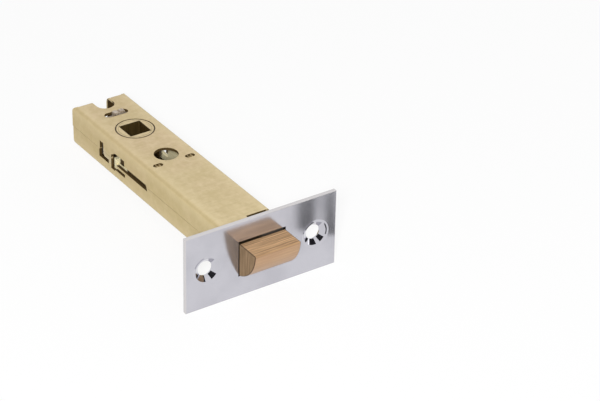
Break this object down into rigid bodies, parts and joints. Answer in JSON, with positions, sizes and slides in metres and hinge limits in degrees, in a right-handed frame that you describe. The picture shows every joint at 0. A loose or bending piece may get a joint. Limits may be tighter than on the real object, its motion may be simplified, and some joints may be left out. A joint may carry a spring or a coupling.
{
  "type": "tubular door latch",
  "caption": "Sprung tubular door latch: folded steel case with square follower and clamping bolt passages, flat faceplate and a bevelled brass bolt.",
  "frame": {"origin": "middle of the faceplate's front face", "axes": "+X out of the faceplate, the way the bolt points; +Y along the faceplate's long side; +Z along the spindle, on the flat side of the bolt"},
  "size_m": [0.1135, 0.057, 0.0274],
  "materials": {
    "faceplate_chrome": "polished",
    "case_steel": "satin yellow passivated steel",
    "plain_steel": "satin",
    "follower_metal": "satin yellow passivated, cast",
    "bolt_brass": "drawn, with fine lines",
    "spring_steel": "satin"
  },
  "bodies": {
    "case": {"faceplate": "faceplate_chrome", "case_upper": "case_steel", "case_lower": "case_steel", "guide_plate": "plain_steel", "tail_plate": "plain_steel", "return_spring": "spring_steel"},
    "follower": {"follower": "follower_metal"},
    "retractor": {"retractor": "plain_steel", "bolt_spring": "spring_steel"},
    "bolt": {"latch_bolt": "bolt_brass", "bolt_stem": "plain_steel", "stem_pin": "plain_steel", "stem_washer": "plain_steel"}
  },
  "joints": [
    {"name": "follower_turn", "type": "hinge", "parent": "case", "child": "follower", "pos_m": [-0.079, 0, 0], "axis": [0, 0, 1], "range_deg": [0, 68]},
    {"name": "retractor_slide", "type": "slide", "parent": "case", "child": "retractor", "axis": [1, 0, 0], "range_m": [-0.0092, 0], "stiffness_N_per_m": 200, "springref_m": 0.004, "deforming": ["return_spring"]},
    {"name": "bolt_slide", "type": "slide", "parent": "retractor", "child": "bolt", "axis": [1, 0, 0], "range_m": [-0.0092, 0], "stiffness_N_per_m": 100, "springref_m": 0.004, "deforming": ["bolt_spring"]}
  ],
  "couplings": [
    {"joint": "follower_turn", "follows": "retractor_slide", "rad_per_m": -129}
  ]
}
